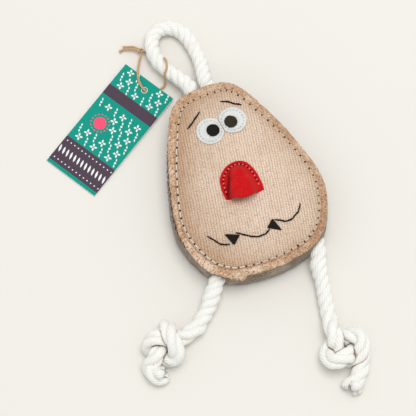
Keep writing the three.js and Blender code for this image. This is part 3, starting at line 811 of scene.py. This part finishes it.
def embroidery(points, seed, width=1.35):
    """An embroidered line of two plies whose width varies, through places told as shares of the body's half sizes"""
    line = on_face(*smooth_line(np.array(points) * HALF_SIZES, steps=8).T, 0.45)
    at = distances(line)
    line[:, :2] += 0.18 * np.column_stack([waves(at, 9, seed), waves(at, 7, seed + 3)])

    def thick(place):
        ends = np.clip(np.minimum(place, at[-1] - place) / 2.5, 0, 1)
        return width * (0.62 + 0.38 * ends) * (1 + 0.16 * waves(place, 5, seed + 5))
    return laid(line, thick, 3.4, seed, strands=2, sides=8, step=0.5)


def tooth(corners, seed):
    """A triangle filled with threads that run between two of its sides"""
    a, b, c = np.array(corners) * HALF_SIZES
    bow = np.sin(np.linspace(0, math.pi, 9)) ** 0.5
    rows = 10

    def thread(k, draw):
        share = (k + 0.5) / rows
        start, end = a + (b - a) * share, a + (c - a) * share
        way = unit(end - start)
        line = np.linspace(start - way * draw(0, 0.35), end + way * draw(0, 0.35), 9)
        return tube(on_face(*line.T, 0.3 + 0.5 * bow), 0.52, 7)
    return drawn_tubes(range(rows), seed, thread)


# Nose: a felt shell, sewn down round its top, that opens towards the mouth

NOSE_LEFT = [(-1.6, 7.5), (-6.3, 6.2), (-10.7, 3.1), (-13.6, -0.8), (-14.8, -5.4), (-15.3, -11), (-14.9, -15.5)]
NOSE_RIGHT = [(-1.6, 7.5), (3.3, 7.1), (7.6, 4.5), (10.2, 0.6), (12, -6), (12.5, -12), (12.3, -18.4)]
SHELL_LIFT = 1.3

nose_left, nose_right = even(smooth_line(NOSE_LEFT), 0.2), even(smooth_line(NOSE_RIGHT), 0.2)
nose_edge = np.vstack([nose_left[::-1], nose_right[1:]])


def nose_top(u, v):
    """A place on the nose by its share from left to right and from top to bottom"""
    a = along(nose_left, v.ravel() * distances(nose_left)[-1]).reshape(v.shape + (2,))
    b = along(nose_right, v.ravel() * distances(nose_right)[-1]).reshape(v.shape + (2,))
    flat = a + (b - a) * u[..., None]
    sag = np.sin(math.pi * u) ** 0.7
    flat[..., 1] -= (4.4 - 1.2 * u) * v**4 * sag**2
    wide = norm(b - a, axis=-1)
    from_left, from_right = u * wide, (1 - u) * wide
    inward = norm(flat[..., None, :] - nose_edge[::3], axis=-1).min(axis=-1)
    fold = 2.0 + 4.8 * smooth((v - 0.2) / 0.25) * np.clip((1 - v) / 0.42, 0, 1)
    rise = smooth((inward - 2.7) / 5) ** 0.7 * smooth((from_left - fold) / 2.2) * smooth((from_right - 2.7) / 7)
    height = (3.4 + 3.8 * v**0.8) * rise
    crease = -0.9 * bell(from_left - fold, 0.9) * smooth((v - 0.28) / 0.2)
    seam = -0.45 * bell(inward - 2.3, 0.8)
    z = face_height(flat[..., 0], flat[..., 1]) + np.maximum(SHELL_LIFT + height + crease + seam, 0.75)
    # Painted shade along the fold's crease, which the red felt darkens by
    dark = bell(from_left - fold + 0.4, 1.1) * smooth((v - 0.25) / 0.35)
    return np.concatenate([flat, z[..., None]], axis=-1), dark


def nose_shell():
    rows, columns = 34, 61
    v, u = np.meshgrid(np.linspace(0.012, 1, rows), np.linspace(0, 1, columns), indexing="ij")
    top, dark = nose_top(u, v)
    top[..., 2] += 0.12 * lumps(top, 1.4, 4) + 0.25 * lumps(top, 5, 5)
    top[-1, :, 1] -= 0.15 * waves(np.linspace(0, 27, columns), 3, 41)
    normal = unit(np.cross(np.gradient(top, axis=1), np.gradient(top, axis=0)))
    normal[normal[..., 2] < 0] *= -1
    normal[..., :2] *= 0.3
    under = top - 1.15 * normal
    points = np.vstack([top.reshape(-1, 3), under.reshape(-1, 3)])
    count = rows * columns
    upper = [face[::-1] for face in grid_faces(rows, columns, wrap=False)]
    lower = [[count + i for i in face[::-1]] for face in upper]
    index = np.arange(count).reshape(rows, columns)
    rim = np.r_[index[0], index[1:, -1], index[-1, -2::-1], index[-2:0:-1, 0]].tolist()
    edge = [(a, b, count + b, count + a) for a, b in zip(rim, rim[1:] + rim[:1])]
    return points, upper + lower + edge, {"shade": np.tile(dark.ravel(), 2)}


def nose_stitches():
    threads, holes = [], []
    edge = even(nose_edge, 3.3)
    run = unit(np.gradient(edge, axis=0))
    route = (edge + 2.3 * np.stack([run[:, 1], -run[:, 0]], axis=1))[1:-1]
    for i, place in enumerate(route[:-1]):
        draw = draws(60 + i)
        share = np.linspace(0.25, 0.75, 5)[:, None]
        # Each stitch: a thread, and a dark tube in its hole that is painted shade
        for parts, way, size, lift in (
            (threads, place + (route[i + 1] - place) * share, 0.45 * draw(0.8, 1.2), 0.1),
            (holes, place + run[i + 1] * 1.3 * (2 * share - 1), 0.7 * np.sin(math.pi * share[:, 0]), 0),
        ):
            parts.append(tube(on_face(*way.T, 1.0 + lift), size, 7))
    return joined(threads), joined(holes)


# Ropes: routes told from the ropes' exits. The knots' are told in the photo's plane, before their turn and scale

LEFT_PIVOT, RIGHT_PIVOT = (-42.943, -65.002, 11), (32.216, -70.568, 11)
LEFT_STOP, RIGHT_STOP = (-26.935, -46.587, 11), (38.531, -46.999, 11)
LEFT_LEG = [(-4.6, -5.3, 9.3), (-9.1, -10.3, 6.9)]
RIGHT_LEG = [(-2.7, -5.6, 9.4), (-4.1, -13.8, 6.9), (-5.4, -21.8, 5.7), (-7.3, -30, 5.5)]
LEFT_KNOT = [
    (26.6, 24.6, 6), (20.5, 14, 7), (13, 7.5, 8), (3, 3.6, 7.4), (-6.5, 2.6, 11.5), (-13, 3, 13), (-17.4, 0, 9.5),
    (-16.4, -5.8, 5), (-10.8, -10, 4.4), (-4, -12, 4.8), (2.6, -12.6, 8), (4.2, -8.3, 14), (1.4, -1.5, 18),
    (-1.6, 5.4, 18), (-3.6, 11, 13.2), (-5.4, 12.4, 8.4), (-7.2, 10, 4.8), (-8.5, 5, 4.4), (-10.2, -2.8, 7),
    (-12, -9.5, 12), (-15, -14.6, 9.5), (-17.6, -19, 6.6), (-16.4, -23.6, 6.3), (-11.6, -26, 6.6), (-7, -24.2, 8),
]
RIGHT_KNOT = [
    (-12, 31, 5.7), (-10.5, 23, 7.5), (-9, 16, 12), (-7.6, 10, 14), (-6.3, 4, 11), (-4.8, -2, 5.6), (0, -5.4, 4.2),
    (6.6, -7, 6), (11.8, -3.4, 11.2), (13.8, 3.4, 13.8), (12, 9.4, 14), (6.8, 11.8, 11), (0.5, 11, 6),
    (-6, 8, 4.3), (-11, 3, 4.6), (-13.2, -3.6, 8), (-9.8, -9.2, 13.4), (-4.5, -9, 14.8), (1.6, -6, 13.4),
    (7, -1.6, 9), (11.6, 1.6, 5), (14.8, -1, 4.3), (15.2, -6.5, 5), (13.8, -13, 5.8), (11.6, -19.6, 6), (8.4, -26.4, 6),
    (6, -30.4, 6.5),
]
LOOP = [
    (-7.8, 6, 9.9), (-11.3, 12.6, 8.6), (-15, 19.2, 7.8), (-18.4, 26.4, 7.6), (-20, 33.6, 7.5), (-19.1, 41.2, 7.2),
    (-15.6, 48.2, 5.9), (-10, 51.7, 5.4), (-4, 51.2, 5.3), (1.4, 48.4, 5.3), (6, 42.5, 5.3), (8.3, 33.9, 5.3),
    (9.2, 24.6, 5.5), (8.8, 14.9, 7), (7.2, 6.9, 9.4),
]
LOOP_CENTRE = np.array([0.6, 76.1, 0])
ROPE, KNOT_ROPE, TAIL_ROPE = 11.2, 12.2, 11.8
# A cord's diameter, and the step along its path
CORD_DIAMETER, PATH_STEP = 10.4, 3
KNOT_TURN, KNOT_SCALE = math.radians(-22), 0.85


def leg_line(pivot, stop, leg, knot, knot_place):
    """A leg's whole line, from its stop inside the body to its cut end, and where on it the knot begins"""
    start = np.array(pivot)
    first = [start] + [start + (x, y, z - start[2]) for x, y, z in leg]
    lying = turned(knot, KNOT_TURN) * KNOT_SCALE
    lying[:, 2] += 0.6
    lying[:, :2] += start[:2] + knot_place
    stub = np.linspace(stop, start, 12)[:-1]
    knot_start = norm(start - stop) + distances(smooth_line(first))[-1] + ROPE / 2
    return np.vstack([stub, smooth_line(np.vstack([first, lying]))]), knot_start


def add_leg(side, line, knot_start, pivot, heading, seed, turn):
    total = distances(line)[-1]

    def thick(at):
        drawn = smooth((at - knot_start) / 16.6)
        slack = smooth((at - (total - 19)) / 9)
        size = ROPE + (KNOT_ROPE - ROPE) * drawn + 1.3 * bell(at - 32, 6)
        return size + (TAIL_ROPE - size) * slack

    def pitch(at):
        return 20 + 22 * smooth((at - knot_start) / 14) - 16 * smooth((at - (total - 22)) / 9)
    part = laid(line, thick, pitch, seed, loose=7, start=turn)
    rope = make(f"{side}_leg", part, cotton, "cotton_rope", body=None)
    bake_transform(rope)
    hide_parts(f"{side}_leg_anchor", f"{side}_leg_rope", f"{side}_leg_knot")
    tuft = make(f"{side}_leg_fray", fray(line, seed), cotton, "cotton_rope", body=f"{side}_leg")
    (even(line, PATH_STEP) * MM).tolist()


def fray(line, seed):
    """Loose yarns at a cut rope end"""
    end, way = line[-1], unit(line[-1] - line[-3])
    across, lift = beside(way)

    def strand(k, draw):
        angle, out = draw(0, TURN), 4.3 * math.sqrt(draw())
        spoke = math.cos(angle) * across + math.sin(angle) * lift
        length = draw(1.5, 4.2)
        root = end - way * 1.5 + spoke * out
        bend = spoke * draw(0.1, 0.9) + 0.4 * (draw(-1, 1) * across + draw(-1, 1) * lift)
        share = np.linspace(0, 1, 5)[:, None]
        fibre = root + way * length * share + bend * share**2 * length * 0.6
        fibre[:, 2] = np.maximum(fibre[:, 2], 0.3)
        return tube(fibre, np.array([0.34, 0.32, 0.28, 0.2, 0.1]) * draw(0.7, 1.1), 5)
    return drawn_tubes(range(60), seed * 100, strand)


def stopper(place, way, seed):
    """The turns of rope that hold an end inside the body"""
    way = unit(np.array(way))
    across, lift = beside(way)
    angle = np.linspace(0, 2.2 * TURN, 60)[:, None]
    coil = place + way * (angle / TURN - 1.1) * 3.4 + 5 * (np.cos(angle) * across + np.sin(angle) * lift)
    return laid(coil, 4.6, 11, seed, sides=8)


def add_ropes():
    left = leg_line(LEFT_PIVOT, LEFT_STOP, LEFT_LEG, LEFT_KNOT, (-42.4, -25.5))
    right = leg_line(RIGHT_PIVOT, RIGHT_STOP, RIGHT_LEG, RIGHT_KNOT, (-10, -68.6))
    add_leg("left", *left, LEFT_PIVOT, math.radians(-131), 3, 1.0)
    add_leg("right", *right, RIGHT_PIVOT, math.radians(-105), 5, 0.0)

    pivots, stops = ([np.array((x, y, 11.0)) for x in (-5.4, 6.6)] for y in (76.1, 52.1))
    free = smooth_line([pivots[0], *(LOOP_CENTRE + point for point in LOOP), pivots[1]])
    line = np.vstack([np.linspace(stops[0], pivots[0], 12)[:-1], free, np.linspace(pivots[1], stops[1], 12)[1:]])
    rope = make("loop", laid(line, ROPE, 20, 8), cotton, "cotton_rope", body=None)
    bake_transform(rope)
    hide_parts("loop_anchor", "loop_rope")
    distances(line)[-1] * MM
    (even(line, PATH_STEP) * MM).tolist()
    for name, place, way in (
        ("left_leg_stopper", LEFT_STOP, (0.656, 0.755, 0)),
        ("right_leg_stopper", RIGHT_STOP, (-0.259, 0.966, 0)),
        ("loop_stopper", (0.6, 52.1, 11), (1, 0.02, 0)),
    ):
        make(name, stopper(place, way, len(name)), cotton, "cotton_rope")


# Swing tag

TWINE = [
    (-27.9, 40.2, 3.6), (-30.8, 35.7, 4.2), (-33.8, 30.9, 4.3), (-36.5, 24.9, 4.3), (-37.2, 19.4, 4.3),
    (-36.8, 16, 4.2), (-36.3, 14.6, 3.4), (-35.7, 13.4, 2), (-34.8, 12.6, 1), (-30, 11.4, 0.9), (-25, 10.8, 0.9),
    (-21.2, 11.6, 1.4), (-19.9, 13.6, 5.2), (-19.2, 15.4, 9.6), (-18.4, 16.8, 12), (-16.2, 19.2, 14), (-14.7, 23, 14.2),
    (-14.4, 26.6, 12.8), (-15.2, 29.3, 9.2), (-16.6, 31.4, 5), (-18, 34, 1.5), (-19.6, 38, 0.9), (-23.6, 41, 1.1),
    (-26.1, 42, 2.4),
]
TWINE_ENDS = [
    [(-28.5, 43.4, 3.4), (-33, 46.6, 3), (-39.3, 48.9, 1.6), (-41.6, 48.4, 1.2)],
    [(-27.4, 43.6, 3.2), (-31.4, 47.7, 2.8), (-38, 50.6, 1.4)],
    [(-26.2, 42.4, 3.6), (-24.6, 40.8, 4.6)],
]
CARD_TURN = math.radians(30.5)
CARD_HOLE = np.array([-35.3, 89.8, 2.1])
CARD_TILT = math.asin((2.1 - 0.15) / 83.8)
# Told from the hole: the card's edges above and below it and on both sides, and the middle of the round accent
CARD_EDGES = (7.55, -83.65, -20.55, 23.15)
ACCENT = np.array((-39, 10))


def on_card(points, lift):
    """Places on the card's printed face, told from its hole: up the card, and across it"""
    up, across = np.array(points, float).T
    x, z = up * math.cos(CARD_TILT), up * math.sin(CARD_TILT) + 0.6 + lift
    return turned(np.column_stack([x, across, z]), CARD_TURN) + CARD_HOLE


def printed(name, finish, lift, shapes, *more):
    """Flat printed shapes, each a closed outline, in one mesh"""
    flat = [(on_card(shape, lift), [tuple(range(len(shape)))], {}) for shape in shapes]
    make(name, joined([*more, *flat]), finish, "printed_card", body="tag")


def block(top, foot, left, right):
    return [(top, left), (top, right), (foot, right), (foot, left)]


def leaf(place, way, length, width):
    share = np.linspace(0, 1, 9)
    side = np.column_stack([length * share, width / 2 * np.sin(math.pi * share) ** 0.8])
    return turned(np.vstack([side, side[-2:0:-1] * (1, -1)]), way) + place


def dot(place, radius, sides=16):
    return np.column_stack(round_place(place, radius, np.arange(sides) / sides * TURN))


def card_motifs():
    """Rows of petals and buds over the ground, and dots and leaves on the lower band"""
    near, far, left, right = CARD_EDGES
    motifs = []
    for row in range(17):
        for column in range(7):
            place = np.array([near - 3.4 - 6 * row, left + 3.4 + 6.6 * column + (3.3 if row % 2 else 0)])
            if place[1] > right - 3 or place[0] < far + 1.5 or np.hypot(*place) < 6:
                continue
            if -84 < place[0] < -56.4 or -22.6 < place[0] < -8 or np.hypot(*(place - ACCENT)) < 9.6:
                continue
            if (row + column) % 2:
                for way in np.arange(4) * TURN / 4 + 0.4:
                    motifs.append(leaf(place + 0.35 * np.array([math.cos(way), math.sin(way)]), way, 2.5, 1.4))
            else:
                motifs.append(dot(place, 0.8, 12))
                motifs += [leaf(place + (1.3 * sign, 0), way, 2.3, 1) for sign, way in ((1, 0.5), (-1, math.pi + 0.5))]
    for across in np.arange(left + 1.4, right - 1, 3.3):
        motifs += [dot((-63, across), 0.5, 10), dot((-78, across), 0.5, 10), leaf((-73.4, across), 0.25, 6, 1.5)]
    return motifs


def add_twine():
    line = smooth_line([LOOP_CENTRE + point for point in TWINE])
    twine = make("twine", laid(line, 1.9, 6, 31, sides=8, step=0.6), hemp, "twine", "tag_twine", body="loop")
    angle = np.linspace(0, TURN, 60)
    trefoil = np.column_stack([
        np.sin(angle) + 2 * np.sin(2 * angle), np.cos(angle) - 2 * np.cos(2 * angle), -np.sin(3 * angle) * 1.3,
    ]) * 0.52 + LOOP_CENTRE + (-27.6, 42.6, 3.4)
    parts = [laid(trefoil, 1.85, 6, 33, sides=7, step=0.5)]
    for i, points in enumerate(TWINE_ENDS):
        end = smooth_line([LOOP_CENTRE + point for point in points])
        parts.append(laid(end, 1.8, 6, 35 + i, sides=8, step=0.6, loose=2.5))
    knot = make("twine_ends", joined(parts), hemp, "twine", "twine_knot", body="loop")
    distances(line)[-1] * MM
    (even(line, 1.5) * MM).tolist()


def add_prints():
    """The card's print, in layers that lie a little over each other"""
    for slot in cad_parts["tag_card"].material_slots:
        slot.material = paper("card", (244, 243, 238), (226, 222, 212))
    near, far, left, right = CARD_EDGES
    ground, band, motif, accent = 0.03, 0.06, 0.09, 0.12
    # The ground leaves the hole free: a collar from a ring to a square, and three blocks round that
    half = 7.5
    ring = dot((0, 0), 2.35, 32)
    beyond = np.maximum(np.abs(ring[:, 0]) / np.where(ring[:, 0] > 0, near, half), np.abs(ring[:, 1]) / half)
    square = ring / beyond[:, None]
    collar = (np.vstack([on_card(ring, ground), on_card(square, ground)]), grid_faces(2, len(ring)), {})
    blocks = [block(-half, far, left, right), block(near, -half, half, right), block(near, -half, left, -half)]
    printed("tag_ground", paper("print_teal", (0, 150, 133), (0, 139, 121)), ground, blocks, collar)
    bands = [block(-60, -81, left, right), block(-11, -19.5, left, right)]
    printed("tag_bands", paper("print_plum", (80, 64, 78), (70, 56, 68)), band, bands)
    printed("tag_motifs", paper("print_white", (240, 243, 240), (222, 230, 226)), motif, card_motifs())
    dots = [dot(place, 0.55, 10) for place in dot(ACCENT, 6.6)]
    printed("tag_accent", paper("print_coral", (252, 84, 118), (238, 72, 106)), accent, [dot(ACCENT, 4.6, 40), *dots])


# Everything in its place

add_camera()
add_light()
# Each yarn's second colour is painted shade in its grooves and also its own mottle; its third is painted shade where
# turns touch
cotton = yarn("cotton", (249, 249, 244), (222, 218, 206), (176, 138, 96), 9, 0.23, 0.3)
hemp = yarn("hemp", (208, 173, 132), (166, 128, 88), (130, 94, 58), 5, 0.5, 0.12)
add_ropes()
add_twine()
add_prints()

front_suede = suede(
    "front_suede", (208, 176, 145), (188, 150, 116), (240, 219, 196), (144, 90, 52), 1.0, darkening=(222, 206, 192),
)
wall_suede = suede("wall_suede", (141, 124, 105), (108, 92, 75), (182, 167, 147), (78, 62, 46), 0.8)
white_felt = felt("white_felt", (224, 225, 221), (206, 208, 206), (232, 233, 229))
red_felt = felt("red_felt", (208, 18, 22), (182, 10, 16), (216, 26, 28), 0.04, crease=(116, 4, 10))
filling = felt("filling", (236, 230, 218), (210, 202, 188), (244, 240, 230))
# Dark felts for the needle holes: painted shade in the holes
needle_hole_shade = felt("needle_hole_shade", (64, 40, 24), (44, 26, 15), (76, 50, 32), 0)
red_hole_shade = felt("red_hole_shade", (84, 4, 6), (62, 2, 4), (98, 8, 10), 0)
# For the threads too, the second colour is painted shade in grooves and mottle, the third painted shade where turns
# touch
white_thread = yarn("white_thread", (240, 234, 222), (196, 178, 156), (170, 146, 120), slope=0.8)
pale_thread = yarn("pale_thread", (226, 208, 184), (188, 162, 134), (160, 132, 104), slope=0.8)
black_thread = yarn("black_thread", (30, 26, 23), (14, 11, 9), (10, 8, 7), ridge=0.12, sheen=0.02)
dark_thread = yarn("dark_thread", (52, 44, 34), (26, 21, 16), (16, 12, 9), ridge=0.12, sheen=0.1)
brown_thread = yarn("brown_thread", (74, 50, 34), (40, 26, 18), (30, 20, 14), ridge=0.1)
grey_thread = yarn("grey_thread", (172, 179, 186), (134, 142, 150), (110, 118, 128))
# The nose's stitching thread is real; its pale pink is a painted highlight on it
pink_thread = yarn("pink_thread", (232, 108, 98), (170, 40, 38), (140, 20, 22))

for name, part, finish, slot, node in (
    ("suede_front", suede_border(), front_suede, "suede", "front_panel"),
    ("suede_wall", wall(), wall_suede, "gusset_suede", "side_gusset"),
    ("suede_back", back(), wall_suede, "suede", "back_panel"),
    ("jute_front", jute_face(), jute_cloth(), "jute", "jute_face"),
    ("fibre_filling", stuffing(), filling, "stuffing", "stuffing_core"),
):
    piece = make(name, part, finish, slot, node)

on_left = [i for i in range(STITCHES) if 0.6 < i / STITCHES < 0.93]
on_right = [i for i in range(STITCHES) if i not in on_left]
for name, chosen, thread in (("left_face", on_left, white_thread), ("right_face", on_right, pale_thread)):
    stitches, holes = face_stitches(chosen)
    make(f"{name}_stitches", stitches, thread, "white_felt")
    make(f"{name}_needle_holes", holes, needle_hole_shade, "suede")
edge_threads = seam_threads(86, (0.75, 0.4, 0.15, -0.1, -0.4), (22.4, 22.1, 21.7, 21.2, 20.5), 0.6, 300)
make("front_seam_threads", edge_threads, brown_thread, "black_thread")
foot_threads = seam_threads(60, (0.5, -0.6, -1, -1.2, -1.3), (1.2, 1.6, 2.4, 3.4, 4.4), 0.25, 500)
make("back_seam_threads", foot_threads, brown_thread, "black_thread")

for side, eye, dark, thread in (
    ("left", LEFT_EYE, LEFT_PUPIL, black_thread), ("right", RIGHT_EYE, RIGHT_PUPIL, dark_thread),
):
    make(f"{side}_eye_felt", eye_felt(eye, len(side)), white_felt, "white_felt", f"{side}_eye")
    make(f"{side}_eye_stitches", eye_stitches(eye), grey_thread, "white_felt")
    make(f"{side}_pupil_thread", pupil(dark, 9 + len(side)), thread, "black_felt", f"{side}_pupil")

THREAD_LINES = {
    "left_brow": [(-0.139, 0.745), (-0.24, 0.685), (-0.312, 0.648), (-0.376, 0.616)],
    "right_brow": [(0.16, 0.772), (0.243, 0.741), (0.31, 0.7), (0.405, 0.655)],
    "left_mouth_line": [(-0.676, -0.486), (-0.617, -0.547), (-0.559, -0.61), (-0.496, -0.637), (-0.445, -0.647)],
    "middle_mouth_line": [
        (-0.319, -0.565), (-0.265, -0.597), (-0.2, -0.633), (-0.115, -0.672), (-0.031, -0.685), (0.03, -0.68),
        (0.1, -0.655),
    ],
    "right_mouth_line": [
        (0.2, -0.585), (0.24, -0.598), (0.319, -0.637), (0.402, -0.642), (0.47, -0.617), (0.531, -0.586),
        (0.594, -0.521),
    ],
}
for i, (name, points) in enumerate(THREAD_LINES.items()):
    make(f"{name}_thread", embroidery(points, 50 + i), black_thread, "black_thread", name)
for name, corners, seed in (
    ("left_tooth", [(-0.398, -0.666), (-0.459, -0.54), (-0.293, -0.599)], 81),
    ("right_tooth", [(0.176, -0.576), (0.078, -0.636), (0.231, -0.706)], 91),
):
    make(f"{name}_thread", tooth(corners, seed), black_thread, "black_felt", name)
make("nose_felt", nose_shell(), red_felt, "red_felt", "nose")
nose_thread, nose_holes = nose_stitches()
make("nose_stitches", nose_thread, pink_thread, "red_felt")
make("nose_needle_holes", nose_holes, red_hole_shade, "red_felt")

corners = 6000 * np.array([(-1, -1, 0), (1, -1, 0), (1, 1, 0), (-1, 1, 0)])
add_mesh("floor", corners - (0, 0, 0.4), [(0, 1, 2, 3)], floor_finish())
